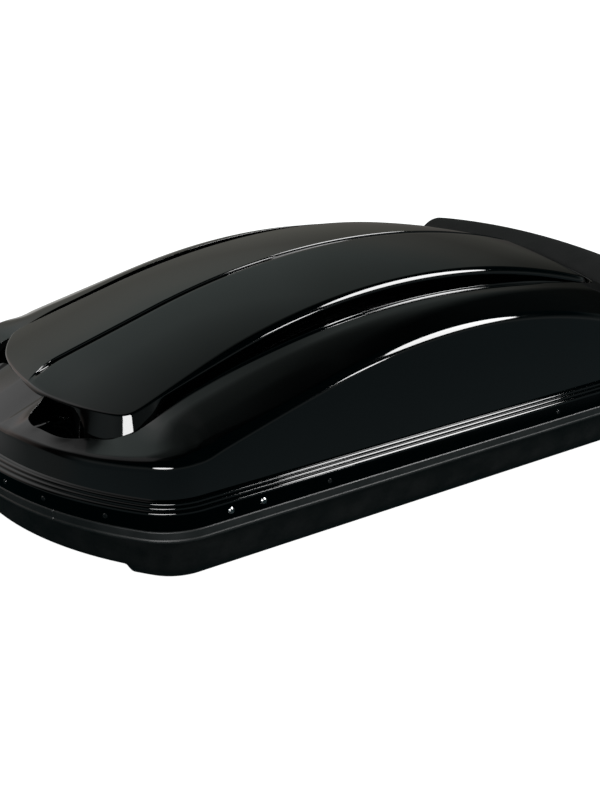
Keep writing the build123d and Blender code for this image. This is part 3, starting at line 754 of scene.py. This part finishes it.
def base_floor(place):
    """Floor of the base inside the swept wall: foot plate with clamp slots, and raised ends."""
    work = bmesh.new()
    slots = [(side_x * SLOT_X, side_y * SLOT_Y) for side_x in (-1, 1) for side_y in (-1, 1)]
    loop = whole(outline(place, FLOOR_RING))
    middle = loop[np.abs(loop[:, 0]) < FOOT_HALF_LENGTH]
    for lift in (0.0, BASE_WALL):
        holes = [stadium(x, y, SLOT_LENGTH, SLOT_WIDTH, lift) for x, y in slots]
        filled(work, [[(x, y, lift) for x, y in middle]] + holes)
        for end in (-1, 1):
            reach = loop[end * loop[:, 0] > FOOT_HALF_LENGTH]
            outwards = end * (reach[:, 0] - end * END_MIDDLE_X)
            reach = reach[np.argsort(np.arctan2(reach[:, 1], outwards))]
            outer_y = np.abs(reach[:, 1]).max()
            corners = [(end * FOOT_HALF_LENGTH, outer_y), (end * FOOT_HALF_LENGTH, -outer_y)]
            shape = [(x, y, FOOT_STEP + lift) for x, y in list(reach) + corners]
            filled(work, [shape])
            low, high = lift, FOOT_STEP + lift
            x = end * (FOOT_HALF_LENGTH + (BASE_WALL if lift else 0))
            wall = [(x, -outer_y, low), (x, outer_y, low), (x, outer_y, high), (x, -outer_y, high)]
            work.faces.new([work.verts.new(point) for point in wall])
    for x, y in slots:
        low = [work.verts.new(point) for point in stadium(x, y, SLOT_LENGTH, SLOT_WIDTH, 0)]
        high = [work.verts.new(point) for point in stadium(x, y, SLOT_LENGTH, SLOT_WIDTH, BASE_WALL)]
        wall_between(work, low, high)
    for y in (-BEAD_PITCH, 0, BEAD_PITCH):
        levels = []
        for inset, height in BEAD_STEPS:
            size = (BEAD_LENGTH - 2 * inset, BEAD_WIDTH - 2 * inset)
            levels.append([work.verts.new(p) for p in stadium(0, y, *size, BASE_WALL + height)])
        for low, high in zip(levels, levels[1:]):
            wall_between(work, low, high)
        work.faces.new(levels[-1])
    verts = [tuple(v.co) for v in work.verts]
    work.verts.index_update()
    faces = [tuple(v.index for v in face.verts) for face in work.faces]
    work.free()
    return verts, faces


def build_base():
    """Grained base tray: flange, drafted wall, rounded bottom edge, foot and floor."""
    place = stations()

    def level(inset, height, on_foot=False):
        points = ring(place, inset, height)
        if on_foot:
            points[:, 2] += foot_level(points[:, 0])
        return points

    points = [
        level(FLANGE_INSET, FLANGE_LOW),
        level(0.0100, 0.0830),
        level(0.0206, FOOT_STEP),
        level(0.0360, 0, True),
        level(FLOOR_RING, 0, True),
    ]
    blends = [(0.002, 0.002, 3), (0.012, 0.008, 8), (0.007, 0.007, 6)]
    outer = rounded(points, blends)
    points = [
        level(FLOOR_RING, BASE_WALL, True),
        level(0.0390, BASE_WALL, True),
        level(0.0242, FOOT_STEP + 0.004),
        level(0.0132, 0.084),
        level(0.0130, FLANGE_TOP),
        level(FLANGE_INSET, FLANGE_TOP),
        level(FLANGE_INSET, FLANGE_LOW),
    ]
    blends = [(0.007, 0.007, 6), (0.008, 0.012, 8), (0.002, 0.002, 2), (0.001, 0.001, 2), SHARP]
    inner = rounded(points, blends)
    profile = whole(np.concatenate([outer, inner], 1))
    verts, faces = joined(*sheet(profile, round_rows=True), *base_floor(place))
    base = new_object("base_skin", verts, faces, "base_abs", "base")
    mark_sharp(base, 35)
    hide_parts("base_tray")


build_base()

# ============================== spoiler
SPOILER_HALF_WIDTH = 0.388
SPOILER_END_ROLL = 0.05
SPOILER_SINK = 0.03
SPOILER_RIDGE_Z, SPOILER_FALL, SPOILER_SWEEP = 0.3035, 0.17, 0.12
SPOILER_TAIL_SWEEP = 0.9


def build_spoiler():
    """Grained rear spoiler, folded along the centre line, with ends that roll down into the lid."""
    ys = np.concatenate([np.linspace(-1, -0.9, 14), np.linspace(-0.89, -0.02, 60), [-0.01, -0.004]])
    ys = np.concatenate([ys, [0.0], -ys[::-1]]) * SPOILER_HALF_WIDTH
    away = np.abs(ys)
    rolled = ramp(away, SPOILER_HALF_WIDTH - SPOILER_END_ROLL, SPOILER_HALF_WIDTH)
    end = np.sqrt(np.clip(1 - rolled**2, 0, 1))
    ridge_z = SPOILER_RIDGE_Z - SPOILER_FALL * away**2
    sweep = SPOILER_SWEEP * away**2
    tail_sweep = SPOILER_TAIL_SWEEP * sweep

    def line(x, height):
        x = x - sweep
        low = roof(x, ys) - SPOILER_SINK
        return np.stack([x, ys, low + (height - low) * end], -1)

    points = [
        line(0.552, roof(0.552 - sweep, ys) - 0.024),
        line(0.566, roof(0.566 - sweep, ys) - 0.004),
        line(0.6, ridge_z - 0.004),
        line(0.622, ridge_z + 0.0008),
        line(0.65, ridge_z - 0.004),
        line(0.7 + tail_sweep, ridge_z - 0.056),
        line(0.698 + tail_sweep, ridge_z - 0.066),
    ]
    blends = [
        (0.004, 0.006, 5),
        (0.02, 0.02, 8),
        (0.018, 0.006, 8),
        (0.006, 0.006, 6),
        (0.003, 0.003, 3),
    ]
    spoiler = new_object("spoiler_skin", *sheet(rounded(points, blends)), "spoiler_grain", "lid")
    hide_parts("rear_spoiler")


build_spoiler()

# ============================== finishes
def mapped(tree, pattern, before, after=(0, 1), how="LINEAR"):
    """A pattern's values mapped from one range to another."""
    node = tree.nodes.new("ShaderNodeMapRange")
    node.interpolation_type = how
    for end, value in zip(("From Min", "From Max", "To Min", "To Max"), (*before, *after)):
        node.inputs[end].default_value = value
    tree.links.new(pattern, node.inputs["Value"])
    return node.outputs["Result"]


def colour_ramp(tree, pattern, stops):
    """Colour by a pattern, through stops of (position, colour) in order of position."""
    node = tree.nodes.new("ShaderNodeValToRGB")
    elements = node.color_ramp.elements
    (first, first_colour), *middle, (last, last_colour) = stops
    elements[0].position, elements[0].color = first, (*first_colour, 1)
    elements[1].position, elements[1].color = last, (*last_colour, 1)
    for position, colour in middle:
        elements.new(position).color = (*colour, 1)
    tree.links.new(pattern, node.inputs["Fac"])
    return node.outputs["Color"]


class Finish:
    """Node material with one Principled shader, built step by step."""

    def __init__(self, name, colour, roughness, metallic=0.0):
        self.material = bpy.data.materials.new(name)
        self.material.use_nodes = True
        self.tree = self.material.node_tree
        self.nodes, self.links = self.tree.nodes, self.tree.links
        self.shader = self.nodes["Principled BSDF"]
        self.shader.inputs["Base Color"].default_value = (*colour, 1)
        self.shader.inputs["Roughness"].default_value = roughness
        self.shader.inputs["Metallic"].default_value = metallic
        self.shader.inputs["IOR"].default_value = 1.5
        self.place = self.nodes.new("ShaderNodeTexCoord").outputs["Object"]

    def stretched(self, scale):
        """Object coordinates scaled by different amounts along each axis."""
        mapping = self.nodes.new("ShaderNodeMapping")
        mapping.inputs["Scale"].default_value = scale
        self.links.new(self.place, mapping.inputs["Vector"])
        return mapping.outputs["Vector"]

    def noise(self, scale, detail=2.0, roughness=0.5, vector=None):
        """Noise pattern, from 0 to 1."""
        node = self.nodes.new("ShaderNodeTexNoise")
        node.inputs["Scale"].default_value = scale
        node.inputs["Detail"].default_value = detail
        node.inputs["Roughness"].default_value = roughness
        self.links.new(vector or self.place, node.inputs["Vector"])
        return node.outputs["Fac"]

    def cells(self, scale, feature="F1"):
        """Distance pattern of small cells, as in moulded leather grain."""
        node = self.nodes.new("ShaderNodeTexVoronoi")
        node.feature = feature
        node.inputs["Scale"].default_value = scale
        self.links.new(self.place, node.inputs["Vector"])
        return node.outputs["Distance"]

    def vary_roughness(self, pattern, low, high):
        """Roughness that runs from low to high over the middle of a pattern's range."""
        level = mapped(self.tree, pattern, (0.3, 0.7), (low, high))
        self.links.new(level, self.shader.inputs["Roughness"])

    def vary_colour(self, pattern, stops):
        """Colour from a pattern through stops of (position, colour)."""
        self.links.new(colour_ramp(self.tree, pattern, stops), self.shader.inputs["Base Color"])

    def bump(self, *patterns):
        """Stacked bumps, each a pattern, its strength and its height in metres."""
        below = None
        for pattern, strength, distance in patterns:
            node = self.nodes.new("ShaderNodeBump")
            node.inputs["Strength"].default_value = strength
            node.inputs["Distance"].default_value = distance
            self.links.new(pattern, node.inputs["Height"])
            if below:
                self.links.new(below, node.inputs["Normal"])
            below = node.outputs["Normal"]
        self.links.new(below, self.shader.inputs["Normal"])


def gloss_lid():
    """High-gloss black cap layer over formed sheet: slight orange peel, waves of the sheet, fine haze."""
    finish = Finish("gloss black cap layer", (0.0012, 0.0016, 0.0018), 0.045)
    dark, light = (0.0009, 0.0013, 0.0015), (0.0014, 0.0019, 0.0021)
    finish.vary_colour(finish.noise(2.2, 3), [(0.35, dark), (0.65, light)])
    finish.vary_roughness(finish.noise(4, 5, 0.6), 0.03, 0.065)
    finish.bump((finish.noise(7, 1), 0.25, 0.0006), (finish.noise(420, 1), 0.05, 0.00006))
    return finish.material


def grained_black(name, colour, roughness, cell_scale, height, sheen=0.5):
    """Moulded black plastic with a fine leather grain."""
    finish = Finish(name, colour, roughness)
    finish.shader.inputs["Specular IOR Level"].default_value = sheen
    lighter = tuple(1.35 * part for part in colour)
    darker = tuple(0.75 * part for part in colour)
    finish.vary_colour(finish.noise(cell_scale * 0.4, 4), [(0.3, darker), (0.5, colour), (0.75, lighter)])
    finish.vary_roughness(finish.noise(30, 4), roughness - 0.06, roughness + 0.08)
    finish.bump(
        (finish.cells(cell_scale, "SMOOTH_F1"), 0.7, height),
        (finish.noise(cell_scale * 2.2, 3), 0.4, height * 0.5),
    )
    return finish.material


def rim_grey():
    """Satin dark grey extruded band with faint draw lines along it and a fine matt texture."""
    finish = Finish("satin grey band", (0.034, 0.036, 0.037), 0.42)
    finish.vary_colour(finish.noise(60, 4), [(0.3, (0.027, 0.029, 0.03)), (0.7, (0.04, 0.042, 0.043))])
    finish.vary_roughness(finish.noise(18, 4), 0.34, 0.5)
    lines = finish.noise(1, 3, 0.6, finish.stretched((3, 3, 900)))
    finish.bump((lines, 0.3, 0.00012), (finish.noise(900, 2), 0.35, 0.00008))
    return finish.material


def rubber():
    """Matt extruded rubber with bloom and fine pores."""
    finish = Finish("seal rubber", (0.02, 0.02, 0.02), 0.75)
    finish.vary_colour(finish.noise(40, 5), [(0.35, (0.014, 0.014, 0.014)), (0.7, (0.032, 0.031, 0.03))])
    finish.vary_roughness(finish.noise(90, 3), 0.65, 0.85)
    finish.bump((finish.noise(700, 3), 0.5, 0.0001))
    return finish.material


def zinc():
    """Zinc-plated pressed steel: soft spangle, rolling lines and small dull patches."""
    finish = Finish("zinc-plated steel", (0.56, 0.57, 0.58), 0.32, metallic=1.0)
    finish.vary_colour(
        finish.cells(130), [(0.1, (0.42, 0.43, 0.45)), (0.5, (0.55, 0.56, 0.57)), (0.9, (0.64, 0.64, 0.63))]
    )
    finish.vary_roughness(finish.noise(35, 5), 0.22, 0.44)
    lines = finish.noise(1, 2, 0.5, finish.stretched((12, 500, 500)))
    finish.bump((lines, 0.2, 0.0001), (finish.noise(260, 3), 0.15, 0.0001))
    return finish.material


def pin_steel():
    """Turned plain steel with fine tool marks."""
    finish = Finish("turned steel", (0.6, 0.6, 0.59), 0.26, metallic=1.0)
    finish.vary_colour(finish.noise(120, 4), [(0.3, (0.5, 0.5, 0.5)), (0.7, (0.66, 0.65, 0.63))])
    finish.vary_roughness(finish.noise(80, 4), 0.18, 0.36)
    finish.bump((finish.noise(1, 2, 0.5, finish.stretched((1800, 120, 120))), 0.2, 0.00006))
    return finish.material


def chrome(name, tint, low, high):
    """Bright plated metal with slight haze and polishing marks."""
    finish = Finish(name, tint, low, metallic=1.0)
    dimmer = tuple(0.9 * part for part in tint)
    finish.vary_colour(finish.noise(90, 3), [(0.3, dimmer), (0.7, tint)])
    finish.vary_roughness(finish.noise(150, 4), low, high)
    finish.bump((finish.noise(600, 2), 0.08, 0.00005))
    return finish.material


def black_coated():
    """Black coated rivets whose coat varies a little in shade and shine."""
    finish = Finish("black coated steel", (0.02, 0.02, 0.021), 0.22)
    finish.vary_colour(finish.noise(200, 3), [(0.35, (0.014, 0.014, 0.015)), (0.75, (0.035, 0.035, 0.036))])
    finish.vary_roughness(finish.noise(220, 3), 0.14, 0.32)
    finish.bump((finish.noise(900, 2), 0.15, 0.00004))
    return finish.material


def nylon():
    """Moulded glass-filled nylon with a dry, slightly streaky surface."""
    finish = Finish("moulded nylon", (0.026, 0.026, 0.027), 0.5)
    streaks = finish.noise(1, 4, 0.6, finish.stretched((260, 60, 60)))
    finish.vary_colour(streaks, [(0.3, (0.019, 0.019, 0.02)), (0.7, (0.036, 0.036, 0.037))])
    finish.vary_roughness(finish.noise(110, 4), 0.42, 0.62)
    finish.bump((finish.cells(900, "SMOOTH_F1"), 0.4, 0.00008))
    return finish.material


def painted_tube():
    """Black painted steel tube: semi-gloss with light orange peel."""
    finish = Finish("black painted tube", (0.013, 0.013, 0.014), 0.24)
    finish.vary_colour(finish.noise(70, 3), [(0.35, (0.01, 0.01, 0.011)), (0.7, (0.019, 0.019, 0.02))])
    finish.vary_roughness(finish.noise(60, 4), 0.18, 0.32)
    finish.bump((finish.noise(500, 2), 0.25, 0.00006))
    return finish.material


finishes = {
    "base_abs": grained_black("grained black base", (0.0105, 0.0115, 0.0115), 0.45, 700, 0.00016),
    "rim_grey": rim_grey(),
    "seal_rubber": rubber(),
    "lid_gloss": gloss_lid(),
    "spoiler_grain": grained_black("grained black spoiler", (0.006, 0.0068, 0.0072), 0.6, 560, 0.00022, 0.25),
    "zinc_steel": zinc(),
    "pin_steel": pin_steel(),
    "screw_chrome": chrome("bright screw chrome", (0.82, 0.81, 0.8), 0.2, 0.32),
    "rivet_black": black_coated(),
    "nylon_black": nylon(),
    "lock_metal": chrome("satin lock metal", (0.7, 0.69, 0.67), 0.16, 0.3),
    "tube_black": painted_tube(),
    "rod_chrome": chrome("polished rod chrome", (0.84, 0.84, 0.85), 0.04, 0.1),
}


def dress(thing, slot_name):
    """Gives a mesh its finish in its only material slot."""
    thing.data.materials.clear()
    thing.data.materials.append(finishes[slot_name])


for subpart in frame["record"]["subparts"]:
    dress(frame["nodes"][subpart["node"]], subpart["material_slot"])
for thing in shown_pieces():
    if thing.get("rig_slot"):
        dress(thing, thing["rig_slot"])

# ============================== stage
FLOOR_REACH, FLOOR_Z = 30, -0.0005
CAMERA_PLACE = (-1.206, -1.770, 0.932)
CAMERA_DIRECTION = (0.5107, 0.7705, -0.3813)
CAMERA_LENS, CAMERA_SENSOR = 50.6, 36


def build_floor():
    """Pale studio floor that stays white in the render and doesn't show in the box's gloss."""
    mesh = bpy.data.meshes.new("floor")
    signs = ((-1, -1), (1, -1), (1, 1), (-1, 1))
    corners = [(x * FLOOR_REACH, y * FLOOR_REACH, FLOOR_Z) for x, y in signs]
    mesh.from_pydata(corners, [], [(0, 1, 2, 3)])
    floor = placed("floor", mesh)
    finish = Finish("pale floor", (0.8, 0.8, 0.8), 0.9)
    finish.shader.inputs["Emission Color"].default_value = (1, 1, 1, 1)
    finish.shader.inputs["Emission Strength"].default_value = 1.0
    finish.shader.inputs["Specular IOR Level"].default_value = 0
    mesh.materials.append(finish.material)
    floor.visible_glossy = False
    floor.visible_diffuse = False


def softbox(name, place, aim, long_axis, size, power):
    """Oval area light that only reflections show, aimed at a point, its first size laid along an axis."""
    data = bpy.data.lights.new(name, "AREA")
    data.shape = "ELLIPSE"
    data.size, data.size_y = size
    data.energy = power
    light = placed(name, data)
    light.location = place
    back = (Vector(place) - Vector(aim)).normalized()
    across = (Vector(long_axis) - back * Vector(long_axis).dot(back)).normalized()
    light.rotation_mode = "QUATERNION"
    light.rotation_quaternion = Matrix((across, back.cross(across), back)).transposed().to_quaternion()
    light.visible_camera = False
    light.visible_diffuse = False


def colour_steps(tree, pattern, steps):
    """Colour by a pattern that runs from -1 to 1, through steps of (place, colour)."""
    stops = [((place + 1) / 2, colour) for place, colour in steps]
    return colour_ramp(tree, mapped(tree, pattern, (-1, 1)), stops)


def blended(tree, share, first, second, how="MIX"):
    """Two colours mixed by a share, or multiplied."""
    node = tree.nodes.new("ShaderNodeMix")
    node.data_type = "RGBA"
    node.blend_type = how
    if share is None:
        node.inputs["Factor"].default_value = 1
    else:
        tree.links.new(share, node.inputs["Factor"])
    tree.links.new(first, node.inputs["A"])
    tree.links.new(second, node.inputs["B"])
    return node.outputs["Result"]


def smooth_step(tree, pattern, ends):
    """Share that rises smoothly from 0 to 1 as a pattern passes from one end to the other."""
    return mapped(tree, pattern, ends, how="SMOOTHSTEP")


def either(tree, share, first, second):
    """The first shader where a share is 0, the second where it is 1."""
    node = tree.nodes.new("ShaderNodeMixShader")
    for source, socket in zip((share, first, second), node.inputs):
        tree.links.new(source, socket)
    return node.outputs["Shader"]


def glow(tree, colour=None):
    """Background of a colour that varies with direction, or plain white."""
    node = tree.nodes.new("ShaderNodeBackground")
    if colour:
        tree.links.new(colour, node.inputs["Color"])
    else:
        node.inputs["Color"].default_value = (1, 1, 1, 1)
    return node.outputs["Background"]


# Light of the studio walls behind the box, by the cosine of the bearing from the X axis.
BACK_WALL = (
    (-0.92, (0.02, 0.02, 0.02)),
    (-0.82, (0.5, 0.5, 0.5)),
    (-0.7, (1.0, 1.0, 1.0)),
    (-0.3, (1.0, 1.0, 1.0)),
    (-0.1, (0.76, 0.76, 0.76)),
    (-0.03, (0.46, 0.5, 0.49)),
    (0.1, (0.32, 0.37, 0.36)),
    (0.26, (0.295, 0.343, 0.33)),
    (0.46, (0.25, 0.29, 0.28)),
    (0.57, (0.19, 0.22, 0.21)),
    (0.68, (0.15, 0.174, 0.168)),
    (0.76, (0.115, 0.135, 0.13)),
    (0.81, (0.05, 0.06, 0.058)),
    (0.85, (0.012, 0.016, 0.016)),
)
# The same walls below the horizon.
BACK_LOW = (
    (-0.85, (0.15, 0.17, 0.17)),
    (-0.3, (0.6, 0.6, 0.6)),
    (0.3, (0.5, 0.49, 0.47)),
    (0.5, (0.15, 0.145, 0.13)),
    (0.7, (0.08, 0.075, 0.07)),
    (0.85, (0.02, 0.02, 0.02)),
)
# How the light of the back walls changes with height.
BACK_HEIGHT = (
    (0.0, (0.7, 0.6, 0.55)),
    (0.2, (0.72, 0.62, 0.58)),
    (0.33, (1.0, 0.9, 0.86)),
    (0.45, (1.0, 1.0, 1.0)),
    (0.65, (1.0, 1.0, 1.0)),
    (0.73, (0.7, 0.7, 0.7)),
    (0.82, (0.38, 0.38, 0.38)),
    (0.935, (0.3, 0.3, 0.3)),
    (0.965, (0.04, 0.04, 0.04)),
)
# The front of the studio, by height.
FRONT_HEIGHT = (
    (-0.36, (0.0, 0.01, 0.012)),
    (-0.27, (0.04, 0.05, 0.055)),
    (-0.21, (0.13, 0.17, 0.18)),
    (-0.08, (0.095, 0.13, 0.14)),
    (0.1, (0.1, 0.135, 0.145)),
    (0.26, (0.22, 0.25, 0.25)),
    (0.38, (0.1, 0.12, 0.12)),
    (0.5, (0.0, 0.012, 0.015)),
    (1.0, (0.0, 0.01, 0.012)),
)
# Heights between which the back walls take over from the front below them, and their upper part from
# their lower one, and the share of the bearing along Y between which the back takes over from the front.
WALLS_START, HORIZON = (-0.32, -0.22), (-0.06, 0.04)
BEHIND = (0.1, 0.3)
# Soft light on matt surfaces, by direction along X.
AMBIENT = (
    (-0.8, (0.04, 0.06, 0.06)),
    (-0.2, (0.2, 0.24, 0.24)),
    (0.5, (0.4, 0.46, 0.45)),
)


def build_world():
    """Studio that is white to the camera.

    Reflections see walls whose light changes with direction, under a dark ceiling. Matt surfaces see
    a soft light of their own.
    """
    world = bpy.data.worlds.new("studio")
    bpy.context.scene.world = world
    world.use_nodes = True
    tree = world.node_tree
    nodes, links = tree.nodes, tree.links
    nodes.remove(nodes["Background"])
    direction = nodes.new("ShaderNodeTexCoord").outputs["Generated"]
    level = nodes.new("ShaderNodeVectorMath")
    level.operation = "MULTIPLY"
    level.inputs[1].default_value = (1, 1, 0)
    links.new(direction, level.inputs[0])
    bearing = nodes.new("ShaderNodeVectorMath")
    bearing.operation = "NORMALIZE"
    links.new(level.outputs["Vector"], bearing.inputs[0])
    split = nodes.new("ShaderNodeSeparateXYZ")
    links.new(direction, split.inputs["Vector"])
    split_bearing = nodes.new("ShaderNodeSeparateXYZ")
    links.new(bearing.outputs["Vector"], split_bearing.inputs["Vector"])
    height, bearing_x = split.outputs["Z"], split_bearing.outputs["X"]
    wall = colour_steps(tree, bearing_x, BACK_WALL)
    high = blended(tree, None, wall, colour_steps(tree, height, BACK_HEIGHT), "MULTIPLY")
    low = colour_steps(tree, bearing_x, BACK_LOW)
    back = blended(tree, smooth_step(tree, height, HORIZON), low, high)
    front = colour_steps(tree, height, FRONT_HEIGHT)
    behind = smooth_step(tree, split_bearing.outputs["Y"], BEHIND)
    level_on = smooth_step(tree, height, WALLS_START)
    walls = blended(tree, behind, front, back)
    reflected = glow(tree, blended(tree, level_on, front, walls))
    ambient = glow(tree, colour_steps(tree, split.outputs["X"], AMBIENT))
    rays = nodes.new("ShaderNodeLightPath")
    softly = either(tree, rays.outputs["Is Diffuse Ray"], reflected, ambient)
    seen = either(tree, rays.outputs["Is Camera Ray"], softly, glow(tree))
    links.new(seen, nodes["World Output"].inputs["Surface"])


def build_camera():
    """Camera beyond the nose's near corner, looking down across the box to the tail's far corner."""
    data = bpy.data.cameras.new("camera")
    data.sensor_width = CAMERA_SENSOR
    data.lens = CAMERA_LENS
    data.clip_start = 0.05
    camera = placed("camera", data)
    camera.location = CAMERA_PLACE
    camera.rotation_mode = "QUATERNION"
    camera.rotation_quaternion = Vector(CAMERA_DIRECTION).to_track_quat("-Z", "Y")
    bpy.context.scene.camera = camera


build_floor()
# Each softbox: its place, the point it aims at, the axis of its first size, its sizes and its power.
softbox("rear softbox", (1.33, -1.257, 1.877), (0, -0.35, 0.25), (0, -0.88, -0.47), (1.4, 1.12), 78)
softbox("front softbox", (-2.09, -2.04, 1.25), (-0.54, -0.385, 0.2), (0.73, -0.68, 0), (1.8, 0.6), 55)
softbox("side softbox", (0.98, -2.4, 1.3), (-0.48, -0.4, 0.2), (0, -0.5, 0.9), (0.7, 0.19), 7.5)
build_world()
build_camera()
bpy.context.scene.view_settings.view_transform = "Standard"
